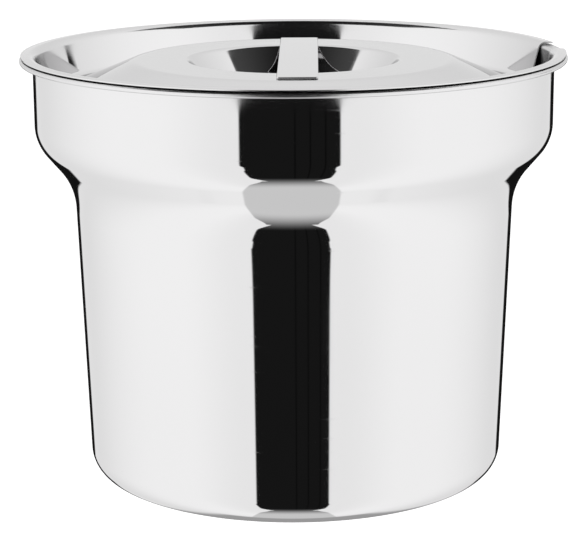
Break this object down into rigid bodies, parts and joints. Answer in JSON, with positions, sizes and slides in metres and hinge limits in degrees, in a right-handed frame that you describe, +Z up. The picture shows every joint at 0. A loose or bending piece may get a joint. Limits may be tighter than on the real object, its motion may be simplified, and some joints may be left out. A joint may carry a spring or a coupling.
{
  "type": "soup kettle food pot with lid",
  "caption": "Stepped round steel food pot for a soup kettle, with a rolled hanging rim and a sunk, ladle-notched lift-off lid with a flat strap across its finger well.",
  "frame": {"origin": "centre of the pot's base, on the surface it stands on", "axes": "+Z up along the pot's axis; the strap handle runs along Y; the lid's ladle notch opens towards +X"},
  "size_m": [0.29, 0.29, 0.2296],
  "materials": {
    "polished_steel": "mirror-polished stainless steel outside, satin inside",
    "lid_steel": "polished stainless steel",
    "strap_steel": "polished stainless steel strap",
    "weld_steel": "fused stainless steel"
  },
  "bodies": {
    "pot": {"pot": "polished_steel"},
    "lid": {"lid": "lid_steel", "lid_handle": "strap_steel", "handle_spot_welds": "weld_steel"}
  },
  "joints": [
    {"name": "lid_lift", "type": "slide", "parent": "pot", "child": "lid", "axis": [0, 0, 1], "range_m": [0, 0.2]}
  ]
}
